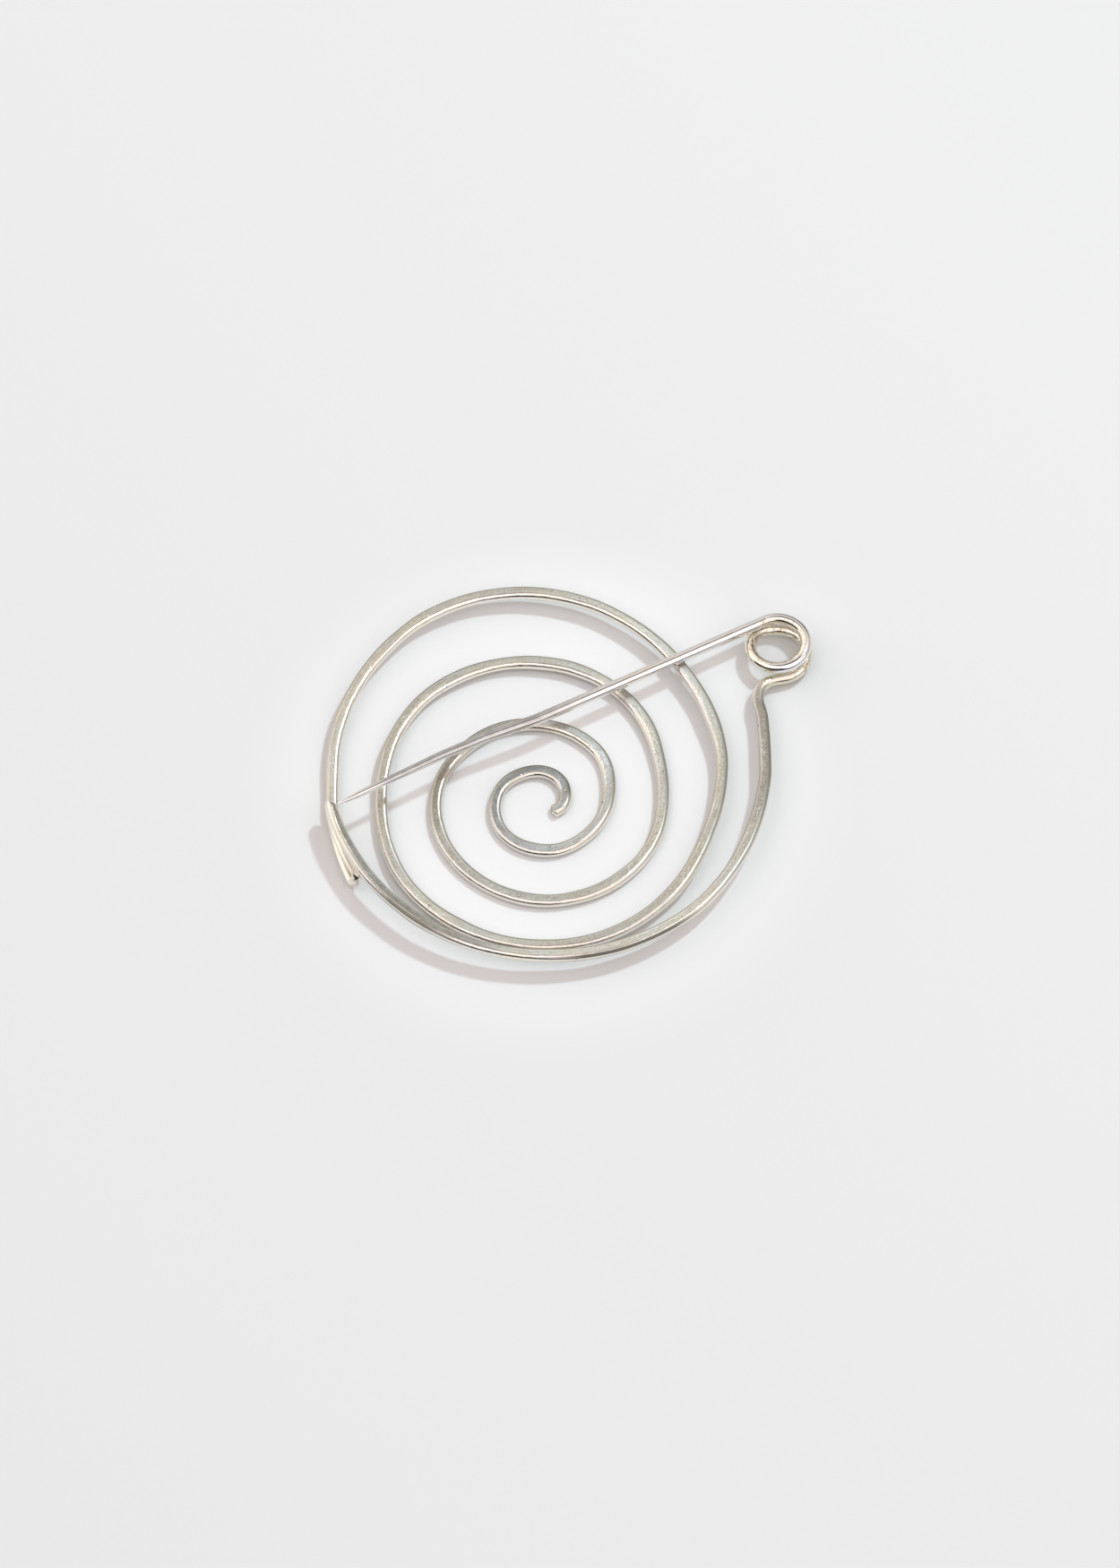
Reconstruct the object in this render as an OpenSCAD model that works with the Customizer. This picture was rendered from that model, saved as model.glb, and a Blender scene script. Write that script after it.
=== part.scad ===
// Spiral brooch bent from one length of silver wire: a flat-hammered spiral, a folded catch,
// a lower rim, a coiled spring and a straight sprung pin.
// Millimetres. The spiral's centre is the origin of X and Y, and the brooch lies on Z = 0.

/* [Wire] */
// Diameter of the round wire, as it is in the coil
wire_d = 1.5; // [1.3:0.1:1.6]
// Width of the wire where it is hammered flat
flat_w = 1.5; // [1.2:0.05:1.6]
// Height of the wire where it is hammered flat
flat_h = 1.3; // [1.1:0.05:1.4]
// Width and height of the wire in the folds of the catch
fold_w = 1.25; // [1:0.05:1.3]
// How square the hammered wire is, where 2 is round
squareness = 5; // [2.5:0.5:8]

/* [Spiral] */
// Angle at which the inner end starts, from east and anticlockwise
inner_angle = -62; // [-80:2:-45]
// Length of the rounded inner end
inner_tip = 0.9; // [0.6:0.1:1.2]
// Angle past west at which the outer turn becomes the catch
catch_angle = 4; // [2:1:6]

/* [Catch] */
// Angle past west of the fold's top, where the wire turns back on itself
fold_angle = 8; // [7:0.5:9]
// Angle past west of the small loop at the foot of the catch
loop_angle = 27.5; // [25:0.5:30]
// Distance between the wire's centre lines in the upright fold
fold_rise = 1.35; // [1.3:0.05:1.4]

/* [Spring coil] */
// Centre of the coil, east of the spiral's centre
coil_x = 30.4; // [30:0.1:31]
// Centre of the coil, north of the spiral's centre
coil_y = 21.6; // [21.3:0.1:21.9]
// Radius of the coil's centre line
coil_r = 3.7; // [3.6:0.05:4]
// Air between one turn of the coil and the next
coil_air = 0.1; // [0.05:0.01:0.2]
// Height of the coil's centre where the rim runs into it
coil_foot = 1.2; // [1:0.05:1.4]
// Lean of the coil's axis to the north, in degrees, which lifts the pin over the catch
coil_lean = 5; // [3:0.5:6]
// Gap between the ends of the two turns, in degrees of the coil
coil_gap = 13; // [12.5:0.5:14]

/* [Pin] */
// Angle in plan of the pin's first stretch, from east and anticlockwise
pin_angle = 207.9; // [207.5:0.1:208.3]
// Distance from the coil at which the even middle stretch starts
stem_from = 17; // [16:0.5:18]
// Distance from the coil at which it ends and the taper starts
stem_to = 34; // [33:0.5:35]
// Diameter of the even middle stretch
pin_mid_d = 1.44; // [1.4:0.02:1.46]

/* [Hidden] */
$fn = 48;

silver = [0.72, 0.71, 0.66];
bright_silver = [0.82, 0.81, 0.79];
flat = [flat_w, flat_h, squareness];
folded = [fold_w, fold_w - 0.05, 4];
round_wire = [wire_d, wire_d, 2];
sides = 12;

// The hand-bent spiral. Radius of the centre line at eight points of the compass, one row a turn.
// Columns: south-east, east, north-east, north, north-west, west, south-west, south.
spiral_radius = [
  [2.6, 2.3, 2.6, 3.4, 4.7, 6.8, 8.4, 8.6],
  [7.9, 7.8, 9.1, 10.5, 12.5, 14.6, 15.6, 16.2],
  [15.6, 15.1, 17.1, 19.8, 21.6, 22.0, 23.1, 23.2],
  [22.5, 22.5, 25.5, 29.7, 30.4, 28.7, 29.5, 30.0]
];
// Height of the centre line above the table at the same places. The inner turns lie flat.
spiral_height = [
  [0.65, 0.65, 0.65, 0.65, 0.65, 0.65, 0.65, 0.65],
  [0.65, 0.65, 0.65, 0.65, 0.65, 0.65, 0.65, 0.7],
  [0.75, 0.85, 1.0, 1.15, 1.15, 1.1, 1.1, 1.2],
  [1.5, 1.9, 2.2, 2.2, 1.9, 1.25, 1.1, 1.1]
];
// The lower rim, from west through south to north-east, with the same kind of rows.
// Columns: west, south-west, south, south-east, east, north-east.
rim_radius = [29.3, 26.7, 25.6, 26.3, 28.3, 32.5];
rim_height = [4.4, 3.8, 3.2, 3.0, 2.7, 1.0];

// Where the neck leaves the rim, in degrees past west, and the bends that lead it to the coil
neck_start = 184;
neck_bends = [
  // east, north, height
  [28.5, 10.2, 2.3],
  [28.0, 13.4, 2.0],
  [28.4, 15.6, 1.6],
  [29.8, 16.8, 1.3]
];

// The pin past its even middle: a slight bow to the north and back, and a long sharp taper.
// The bow is no deeper than the taper leaves room for, so that a straight tube slides over the point.
pin_taper = [
  // turn to the north in degrees, length of the stretch, diameter at its end
  [2.3, 7.5, 1.29],
  [-1.3, 6.5, 1.08],
  [-2.0, 13.3, 0.52],
  [0, 2.5, 0.08]
];

// Smooth curves through evenly spaced values

function ease(a, b, c, d, t) = b + 0.5 * t * (c - a + t * (2*a - 5*b + 4*c - d + t * (3*(b - c) + d - a)));
function flatten(rows) = [for (row = rows) for (value = row) value];
function clamp(value, low, high) = max(low, min(high, value));
function along(list, u) =
  let (last = len(list) - 1, i = clamp(floor(u), 0, last - 1), t = u - i)
  ease(
    i > 0 ? list[i - 1] : 2*list[0] - list[1], list[i], list[i + 1],
    i + 2 <= last ? list[i + 2] : 2*list[last] - list[last - 1], t
  );
function polar(radius, angle, height) = [radius * cos(angle), radius * sin(angle), height];
function unit(v) = v / norm(v);

// Routes of the wire's centre line

spiral_radii = flatten(spiral_radius);
spiral_heights = flatten(spiral_height);
function spiral_point(angle) =
  polar(along(spiral_radii, (angle + 45) / 45), angle, along(spiral_heights, (angle + 45) / 45));
function rim_point(past_west) =
  polar(along(rim_radius, past_west / 45), 180 + past_west, along(rim_height, past_west / 45));

// The coil climbs anticlockwise from its foot to the pin. Angles here are the coil's own,
// and its first half turn has slipped a little out of line towards the foot.
coil_centre = [coil_x, coil_y, coil_foot];
coil_axis = [0, sin(coil_lean), cos(coil_lean)];
coil_pitch = wire_d + coil_air;
coil_top = pin_angle - 90 + 720;
coil_cut = coil_top - 360;
coil_start = coil_top - 540;
coil_slip = [0.1, -0.5, -0.3];
function lean(p) = [p[0], p[1] * cos(coil_lean), -p[1] * sin(coil_lean)] + p[2] * coil_axis;
function soft(t) = t * t * (3 - 2 * t);
function coil_point(angle) =
  coil_centre + lean(polar(coil_r, angle, coil_pitch * (angle - coil_start) / 360))
    + coil_slip * soft(clamp((coil_cut - angle) / (coil_cut - coil_start), 0, 1));

// Wire bent along a route. Each station is a centre point and the section there,
// [width, height, squareness]; over = -1 where the wire runs upside down after the upright fold.

function section(shape) = [
  for (i = [0:sides - 1])
    let (a = 360 * (i + 0.5) / sides, c = cos(a), s = sin(a), p = 2 / shape[2])
    [sign(c) * pow(abs(c), p) * shape[0] / 2, sign(s) * pow(abs(s), p) * shape[1] / 2]
];
function heading(points, i) =
  unit(points[min(i + 1, len(points) - 1)] - points[max(i - 1, 0)]);
function ring(centre, direction, over, shape) =
  let (
    side = over * unit(cross(direction, [0, 0, 1])),
    up = cross(side, direction)
  )
  [for (corner = section(shape)) centre + corner[0] * side + corner[1] * up];

module wire(points, shapes, overs, first = undef, last = undef) {
  n = len(points);
  rings = [
    for (i = [0:n - 1])
      ring(
        points[i],
        i == 0 && first != undef ? first : i == n - 1 && last != undef ? last : heading(points, i),
        overs[i], shapes[i]
      )
  ];
  polyhedron(
    points = flatten(rings),
    faces = concat(
      [[for (k = [sides - 1:-1:0]) k]],
      [
        for (i = [0:n - 2], k = [0:sides - 1])
          let (a = i * sides + k, b = i * sides + (k + 1) % sides)
          [a, b, b + sides, a + sides]
      ],
      [[for (k = [0:sides - 1]) (n - 1) * sides + k]]
    ),
    convexity = 10
  );
}

function same(value, points) = [for (p = points) value];
function tangent(f_before, f_after) = unit(f_after - f_before);

// The spiral in four stretches, each about one turn

spiral_end = 1080 + 180 + catch_angle;
function cut_angle(k) = inner_angle + (spiral_end - inner_angle) * k / 4;
function spiral_heading(angle) = tangent(spiral_point(angle - 0.5), spiral_point(angle + 0.5));

module spiral_stretch(k, steps) {
  from = cut_angle(k - 1);
  to = cut_angle(k);
  points = [for (i = [0:steps]) spiral_point(from + (to - from) * i / steps)];
  wire(points, same(flat, points), same(1, points), spiral_heading(from), spiral_heading(to));
}

// The rounded end, a little swollen by the hammer
module inner_end() {
  from = spiral_point(inner_angle);
  back = -spiral_heading(inner_angle);
  // share of the tip's length, share of the wire's size
  rows = [[0, 1], [0.3, 1.08], [0.6, 1.02], [0.85, 0.8], [1, 0.45]];
  points = [for (row = rows) from + back * inner_tip * row[0]];
  shapes = [for (row = rows) [flat_w * row[1], flat_h * min(1, row[1]), 3.5]];
  wire(points, shapes, same(1, points), back, back);
}

module spiral_turn_1() {
  color(silver) {
    spiral_stretch(1, 30);
    inner_end();
  }
}

module spiral_turn_2() {
  color(silver) spiral_stretch(2, 44);
}

module spiral_turn_3() {
  color(silver) spiral_stretch(3, 56);
}

module spiral_turn_4() {
  color(silver) spiral_stretch(4, 64);
}

// The catch: down from the outer turn, round a small level loop, back up under the rim,
// and over in an upright fold on to the rim

loop_outer = spiral_point(1260 + loop_angle);
loop_inner = rim_point(loop_angle) - [0, 0, fold_rise];
loop_middle = (loop_outer + loop_inner) / 2;
loop_across = (loop_outer - loop_inner) / 2;
loop_ahead = norm([loop_across[0], loop_across[1]]) * unit(cross([0, 0, 1], loop_across));
fold_heading = tangent(rim_point(fold_angle + 0.5), rim_point(fold_angle - 0.5));
fold_middle = rim_point(fold_angle) - [0, 0, fold_rise / 2];
rim_cut = loop_angle + 2;

module catch() {
  down = [for (i = [0:14]) spiral_point(spiral_end + (1260 + loop_angle - spiral_end) * i / 14)];
  loop = [
    for (i = [1:9])
      let (a = 18 * i)
      loop_middle + cos(a) * loop_across + sin(a) * loop_ahead
  ];
  back = [
    for (i = [0:14])
      rim_point(loop_angle + (fold_angle - loop_angle) * i / 14) - [0, 0, fold_rise]
  ];
  fold = [
    for (i = [0:7])
      let (a = -90 + 22.5 * (i + 0.5))
      fold_middle + fold_rise / 2 * (cos(a) * fold_heading + [0, 0, sin(a)])
  ];
  onto = [for (i = [0:14]) rim_point(fold_angle + (rim_cut - fold_angle) * i / 14)];
  under = concat(down, loop, back);
  over = concat(fold, onto);
  points = concat(under, over);
  shapes = [
    for (i = [0:len(points) - 1])
      let (t = clamp(min(i, len(points) - 1 - i) / 6, 0, 1))
      flat * (1 - t) + folded * t
  ];
  overs = [
    for (i = [0:len(points) - 1])
      i < len(under) + 4 ? 1 : -1
  ];
  color(silver) wire(points, shapes, overs, spiral_heading(spiral_end), rim_heading(rim_cut));
}

// The lower rim and the neck, which grows round again on its way into the coil

function rim_heading(past_west) = tangent(rim_point(past_west - 0.5), rim_point(past_west + 0.5));
function neck_point(t) = let (
    stops = concat(
      [rim_point(neck_start - 4), rim_point(neck_start)], neck_bends,
      [coil_point(coil_start), coil_point(coil_start + 40)]
    ),
    i = floor(t)
  )
  ease(stops[i], stops[i + 1], stops[i + 2], stops[i + 3], t - i);

module rim() {
  steps = 44;
  bends = 6 * (len(neck_bends) + 1);
  arc = [for (i = [0:steps]) rim_point(rim_cut + (neck_start - rim_cut) * i / steps)];
  neck = [for (i = [1:bends - 1]) neck_point(i / 6)];
  points = concat(arc, neck, [coil_point(coil_start)]);
  shapes = [
    for (i = [0:len(points) - 1])
      let (t = clamp((i - steps + 6) / (bends - 6), 0, 1))
      flat * (1 - t) + round_wire * t
  ];
  color(silver) wire(points, shapes, same(1, points), rim_heading(rim_cut), coil_heading(coil_start));
}

// The spring coil: its lower half turn belongs to the frame, its upper turn moves with the pin

function coil_heading(angle) = tangent(coil_point(angle - 0.5), coil_point(angle + 0.5));

module coil_stretch(from, to, steps) {
  points = [for (i = [0:steps]) coil_point(from + (to - from) * i / steps)];
  wire(points, same(round_wire, points), same(1, points), coil_heading(from), coil_heading(to));
}

module coil_lower() {
  color(bright_silver) coil_stretch(coil_start, coil_cut - coil_gap, 16);
}

module coil_upper() {
  color(bright_silver) coil_stretch(coil_cut, coil_top, 36);
}

// The pin: a root as thick as the coil, an even stem, then the bent and tapering stretches one after another

module stretches(rows, i, start_d) {
  row = rows[i];
  rotate([row[0], 0, 0]) {
    cylinder(d1 = start_d, d2 = row[2], h = row[1]);
    if (i + 1 < len(rows))
      translate([0, 0, row[1]]) {
        if (rows[i + 1][0] != 0) sphere(d = row[2], $fn = 24);
        stretches(rows, i + 1, row[2]);
      }
  }
}

module pin() {
  straight = [[0, stem_from, pin_mid_d], [0, stem_to - stem_from, pin_mid_d]];
  color(bright_silver)
    translate(coil_point(coil_top))
      rotate([-coil_lean, 0, 0]) rotate([0, 90, pin_angle])
        stretches(concat(straight, pin_taper), 0, wire_d);
}

spiral_turn_1();
spiral_turn_2();
spiral_turn_3();
spiral_turn_4();
catch();
rim();
coil_lower();
coil_upper();
pin();
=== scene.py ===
# Spiral brooch of hammered silver wire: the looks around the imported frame.
# Tables are in millimetres and degrees, as in the part's source; meshes are written in metres.
import math
import bpy
import numpy as np
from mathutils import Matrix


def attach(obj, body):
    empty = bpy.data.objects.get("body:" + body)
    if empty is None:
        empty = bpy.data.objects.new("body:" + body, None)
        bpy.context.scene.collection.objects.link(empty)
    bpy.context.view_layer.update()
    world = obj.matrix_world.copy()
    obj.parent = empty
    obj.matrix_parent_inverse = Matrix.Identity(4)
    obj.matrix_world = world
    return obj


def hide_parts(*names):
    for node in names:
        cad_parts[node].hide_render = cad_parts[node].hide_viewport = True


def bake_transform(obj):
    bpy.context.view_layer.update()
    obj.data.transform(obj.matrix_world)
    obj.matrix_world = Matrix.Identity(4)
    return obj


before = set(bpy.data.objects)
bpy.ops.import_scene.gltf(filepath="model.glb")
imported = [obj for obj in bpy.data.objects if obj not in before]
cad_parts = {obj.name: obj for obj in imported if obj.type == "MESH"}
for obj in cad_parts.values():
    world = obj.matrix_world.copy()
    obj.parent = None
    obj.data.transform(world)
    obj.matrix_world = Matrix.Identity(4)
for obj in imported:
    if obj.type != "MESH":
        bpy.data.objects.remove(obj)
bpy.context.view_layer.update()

millimetre = 0.001
tableStep = 45  # degrees between the columns of the hand-bent tables
lastWest = 1260  # degrees at which the outer turn comes west for the last time
routeStep = 0.05  # spacing of the fine route, from which the grids are taken
bendSoftening = 5.0  # length over which the small bends are softened
joinSoftening = 0.5  # length over which the stretches are softened where they meet
# points laid on each stretch before the wire is respaced
laidPoints = {
    "tip": 20, "spiral": 9000, "leg": 240, "loop": 80, "fold": 60, "rim": 1600, "neck": 600, "coil": 800,
    "pin": 1300}

# Route of the wire

spiralWire = {
    # radius of the centre line, a row for each turn: SE E NE N NW W SW S
    "radius": [
        [2.6, 2.3, 2.6, 3.4, 4.7, 6.8, 8.4, 8.6],
        [7.9, 7.8, 9.1, 10.5, 12.5, 14.6, 15.6, 16.2],
        [15.6, 15.1, 17.1, 19.8, 21.6, 22.0, 23.1, 23.2],
        [22.5, 22.5, 25.5, 29.7, 30.4, 28.7, 29.5, 30.0],
    ],
    # height of the centre line
    "rise": [
        [0.65, 0.65, 0.65, 0.65, 0.65, 0.65, 0.65, 0.65],
        [0.65, 0.65, 0.65, 0.65, 0.65, 0.65, 0.65, 0.7],
        [0.75, 0.85, 1.0, 1.15, 1.15, 1.1, 1.1, 1.2],
        [1.5, 1.9, 2.2, 2.2, 1.9, 1.25, 1.1, 1.1],
    ],
    # degrees by which the hammered face leans outward
    "lean": [
        [-4, -4, 3, 6, 6, 6, 4, -3],
        [-6, -6, 2, 6, 6, 6, 4, -4],
        [-6, -6, 2, 7, 6, 6, 4, -5],
        [-6, -6, 2, 8, 7, 5, 4, -5],
    ],
    # how dark the face's outer and inner edges are painted, in the same columns: partly tarnished metal,
    # partly painted dark reflection
    "outerTarnishAndReflection": [0.35, 0.95, 0.9, 0.9, 0.85, 0.45, 0.1, 0.0],
    "innerTarnishAndReflection": [0.6, 0.55, 0.1, 0.0, 0.0, 0.4, 0.6, 0.55],
    # degrees round the spiral, how dark the face is painted: partly dulled metal, partly painted shade such
    # as the pin's shadow, and painted dark reflection
    "dullAndShade": [
        [-62, 0.3], [0, 0.6], [90, 0.95], [180, 0.95], [270, 0.55], [330, 0.1], [390, 0.05], [440, 0.3],
        [490, 0.65], [520, 0.95], [545, 0.9], [565, 0.55], [600, 0.5], [630, 0.6], [675, 0.2], [720, 0.1],
        [850, 0.2], [900, 0.4], [945, 0.25], [990, 0.4], [1035, 0.3], [1080, 0.2], [1130, 0.1], [1262, 0],
        [1284, 0.6], [1325, 0.5], [1352, 0.05], [1400, 0], [1425, 0.25], [1444, 0.6], [1480, 0.65]],
    "firstColumn": -45,
    "innerAngle": -62,
    "endAngle": 1264,
    "width": 1.76,  # over the bulging sides
    "height": 1.32,
    "shoulder": 0.60,  # radius from the face to the side
    # degrees round the spiral, millimetres outward: small bends between the columns
    "wander": [
        [260, -0.12], [290, -0.08], [325, 0.04], [345, 0.16], [370, 0.12], [400, 0.16], [435, 0],
        [490, -0.04], [510, -0.1], [525, 0.03], [550, 0.22], [570, 0.26], [590, 0.15], [612, 0],
        [640, -0.12], [660, 0.04], [690, 0.22], [702, 0.24], [720, -0.03], [742, -0.3], [762, -0.04],
        [774, 0.13], [795, 0], [815, -0.1], [840, 0], [860, 0.16], [882, 0.14], [908, 0], [932, 0.25],
        [960, -0.04], [990, -0.04], [1014, 0.1], [1032, -0.1], [1052, -0.36], [1064, -0.28], [1078, 0.08],
        [1092, 0.36], [1108, 0], [1120, -0.14], [1150, -0.18], [1166, -0.1], [1180, 0.26], [1194, 0.46],
        [1204, 0.44], [1216, 0], [1228, -0.14], [1242, 0], [1258, -0.26], [1272, 0], [1290, 0.2],
        [1315, 0.3], [1348, 0.14], [1372, 0.26], [1398, 0.4], [1425, 0.15], [1442, 0.06], [1450, 0.12],
        [1464, 0],
    ],
    "wanderFade": 6,  # length over which the bends die away into the catch
    "wanderEnd": [-16, -10],  # and the places, from the coil, where they die away at the neck
}
# the swollen nub at the wire's inner end
innerEnd = {
    "length": 0.9,
    "rings": 22,
    "crowding": 1.6,  # power by which the rings lie closer towards the tip
    "closing": 0.55,  # share of the length over which it rounds off
    "swelling": 0.09,
    "swollenOver": 0.9,
}
catchWire = {
    "loopAngle": 27.5,  # past west
    "foldAngle": 8,
    "rimLap": 2,  # degrees of the rim past the loop that belong to the catch's piece
    "foldRise": 1.35,  # between the centre lines in the upright fold
    "narrowing": 0.8,  # by which the loop's inner leg is bent out from under the rim
    "width": 1.32,
    "height": 1.3,
    "shoulder": 0.52,
    "fade": 5.0,  # length over which the flat wire narrows into the catch
    "afterFold": [7.0, 1.0],  # distances past the fold between which it widens again
    # painted shade in the slit between the lower legs: how near its middle, degrees past west, how far under
    # the rim
    "slitReach": [0.28, 0.05],
    "slitFrom": [15, 22],
    "slitUnder": 0.7,
}
rimWire = {
    "radius": [29.3, 26.7, 25.6, 26.3, 28.3, 32.5],  # W SW S SE E NE
    "rise": [4.4, 3.8, 3.2, 3.0, 2.7, 1.0],
    "lean": [-32, -22, -6, -6, -8, -12],
    # degrees round the spiral, how dark the outer side is painted: painted dark reflection of the shade under
    # the raised rim
    "sideDarkReflection": [
        [1290, 0], [1301, 0.9], [1314, 0.9], [1326, 0], [1346, 0], [1360, 1.15], [1388, 1.1], [1402, 0]],
    "neckStart": 184,
    # east, north, height of the bends that lead the neck to the coil
    "neckBends": [[28.3, 10.2, 2.3], [27.7, 13.3, 2.0], [27.95, 15.6, 1.6], [29.4, 17.0, 1.3]],
    "neckLeads": [4, 40],  # degrees of the rim and of the coil that set the neck's direction at its ends
}
coilWire = {
    "centre": [30.4, 21.6, 1.2],
    "radius": 3.7,
    "diameter": 1.5,
    "air": 0.1,
    "lean": 5,
    "slip": [0.1, -0.5, -0.3],
    "turns": 1.5,
    # the lower turn is tucked in between these degrees, most at the middle one
    "tuckAt": [385, 455, 540],
    "tuck": [-0.35, -0.42, -0.26],
    "rounding": [-9, -2],  # places, from the coil, between which the flat wire becomes round
    "winding": [0.75, 1.65],  # heights up its axis
}
pinWire = {
    "angle": 207.9,
    "bends": [[34, 4.6], [41.5, -3.2], [48, -3.3]],  # distance from the coil, degrees towards the north
    "length": 63.8,
    # distance from the coil, diameter
    "taper": [
        [0, 1.54], [20, 1.5], [34, 1.5], [42, 1.36], [48, 1.19], [55, 1.0], [60.6, 0.85], [62.3, 0.62],
        [63.3, 0.36], [63.8, 0.06]],
    # distances from the coil over which the painted dark reflection (the grey) comes and goes, and the side
    # that it lies on
    "greyFrom": [24, 36],
    "greyTo": [62, 54],
    "greySide": [-0.22, 0.42, 0.88],
    "greyEdge": [0.1, 0.6],
}


# A smooth step from 0 at start to 1 at end: 3t^2 - 2t^3, where t is the share of the way
def between(value, start, end):
    t = np.clip((value - start) / (end - start), 0, 1)
    return t * t * (3 - 2 * t)


# Catmull-Rom through evenly spaced values: b + t/2 (c - a + t (2a - 5b + 4c - d + t (3(b - c) + d - a)))
def smoothThrough(values, place):
    values = np.asarray(values, float)
    ends = [2 * values[0] - values[1]], [2 * values[-1] - values[-2]]
    row = np.concatenate([ends[0], values, ends[1]])
    i = np.clip(np.floor(place).astype(int), 0, len(values) - 2)
    t = place - i
    t = t.reshape(t.shape + (1,) * (values.ndim - 1))
    a, b, c, d = row[i], row[i + 1], row[i + 2], row[i + 3]
    return b + 0.5 * t * (c - a + t * (2 * a - 5 * b + 4 * c - d + t * (3 * (b - c) + d - a)))


# (r cos a, r sin a, z)
def roundCentre(radius, degrees, height):
    a = np.radians(degrees)
    radius, a, height = np.broadcast_arrays(radius, a, height)
    return np.stack([radius * np.cos(a), radius * np.sin(a), height], -1)


# Round the centre, with the radius and the height joined smoothly through the spiral's tables
def spiralLine(degrees):
    place = (np.asarray(degrees, float) - spiralWire["firstColumn"]) / tableStep
    radius = smoothThrough(np.ravel(spiralWire["radius"]), place)
    return roundCentre(radius, degrees, smoothThrough(np.ravel(spiralWire["rise"]), place))


# The same through the rim's tables, counted in degrees past west
def rimLine(pastWest):
    place = np.asarray(pastWest, float) / tableStep
    radius = smoothThrough(rimWire["radius"], place)
    return roundCentre(radius, 180 + np.asarray(pastWest, float), smoothThrough(rimWire["rise"], place))


# A point or direction of the coil's own frame, tilted so that its axis leans north
def leaned(points):
    tilt = math.radians(coilWire["lean"])
    x, y, z = np.moveaxis(np.asarray(points, float), -1, 0)
    north = y * math.cos(tilt) + z * math.sin(tilt)
    return np.stack([x, north, z * math.cos(tilt) - y * math.sin(tilt)], -1)


# degrees round the coil: where the pin leaves it, its foot on the rim, and the end of its lower half turn
coilTop = pinWire["angle"] - 90 + 720
coilStart = coilTop - 360 * coilWire["turns"]
coilCut = coilTop - 360
coilPitch = coilWire["diameter"] + coilWire["air"]


# A helix round the leaning axis. Its first half turn is moved by slip times a smooth step from the cut to
# the foot, and by tuck times one that rises and falls again.
def coilLine(degrees):
    degrees = np.asarray(degrees, float)
    helix = roundCentre(coilWire["radius"], degrees, coilPitch * (degrees - coilStart) / 360)
    slipped = between(degrees, coilCut, coilStart)[..., None]
    tucked = between(np.interp(degrees, coilWire["tuckAt"], [0, 1, 0]), 0, 1)[..., None]
    line = np.array(coilWire["centre"]) + leaned(helix)
    return line + slipped * coilWire["slip"] + tucked * coilWire["tuck"]


# Straight stretches in the coil's leaning plane, each turned a little from the one before
def pinLine(distance):
    distance = np.asarray(distance, float)[..., None]
    starts = [0] + [at for at, turn in pinWire["bends"]] + [pinWire["length"] + 1]
    angle, flatLine = pinWire["angle"], 0
    for start, end, turn in zip(starts, starts[1:], [turn for at, turn in pinWire["bends"]] + [0]):
        heading = [math.cos(math.radians(angle)), math.sin(math.radians(angle)), 0]
        flatLine = flatLine + (np.clip(distance, start, end) - start) * heading
        angle -= turn
    return coilLine(coilTop) + leaned(flatLine)


# The unit direction back along a line, from half a degree past an angle to half a degree before it
def backAlong(line, angle):
    heading = line(angle - 0.5) - line(angle + 0.5)
    return heading / np.linalg.norm(heading)


rimCut = catchWire["loopAngle"] + catchWire["rimLap"]


# Down the outer turn, round a small level loop, back under the rim, over an upright half circle, on to
# the rim. Both curves are middle + cos a (one axis) + sin a (the other).
def catchLines():
    loopAngle, foldAngle, rise = catchWire["loopAngle"], catchWire["foldAngle"], catchWire["foldRise"]
    drop = np.array([0, 0, rise])

    def innerLeg(pastWest):
        share = (np.asarray(pastWest, float) - foldAngle) / (loopAngle - foldAngle)
        bentOut = catchWire["narrowing"] * roundCentre(share, 180 + np.asarray(pastWest), 0)
        return rimLine(pastWest) - drop + bentOut

    outer, inner = spiralLine(lastWest + loopAngle), innerLeg(loopAngle)
    middle, across = (outer + inner) / 2, (outer - inner) / 2
    ahead = np.array([-across[1], across[0], 0])
    turn = np.radians(np.linspace(0, 180, laidPoints["loop"]))[1:-1, None]
    back = backAlong(rimLine, foldAngle)
    climb = np.radians(np.linspace(-90, 90, laidPoints["fold"]))[1:-1, None]
    up = np.array([0, 0, 1])
    leg = laidPoints["leg"]
    return {
        "catch": [
            spiralLine(np.linspace(spiralWire["endAngle"], lastWest + loopAngle, leg)),
            middle + np.cos(turn) * across + np.sin(turn) * ahead,
            innerLeg(np.linspace(loopAngle, foldAngle, leg))],
        "fold": [
            rimLine(foldAngle) - drop / 2 + rise / 2 * (np.cos(climb) * back + np.sin(climb) * up),
            rimLine(np.linspace(foldAngle, rimCut, leg))],
    }


# Smoothly through the neck's bends, from the end of the rim to the foot of the coil
def neckLine(count):
    start, (rimLead, coilLead) = rimWire["neckStart"], rimWire["neckLeads"]
    onRim, onCoil = rimLine([start - rimLead, start]), coilLine([coilStart, coilStart + coilLead])
    stops = np.vstack([onRim, rimWire["neckBends"], onCoil])
    return smoothThrough(stops, np.linspace(1, len(stops) - 2, count))


# How far round the spiral's centre the wire has come, counted on over the turns
def turnsOf(line):
    return np.degrees(np.unwrap(np.arctan2(line[:, 1], line[:, 0])))


# Weights in a bell over a length of the route, adding up to 1, and their reach to each side in points
def bell(length):
    window = np.hanning(round(length / routeStep) + 1)[1:-1]
    return window / window.sum(), len(window) // 2


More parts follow.
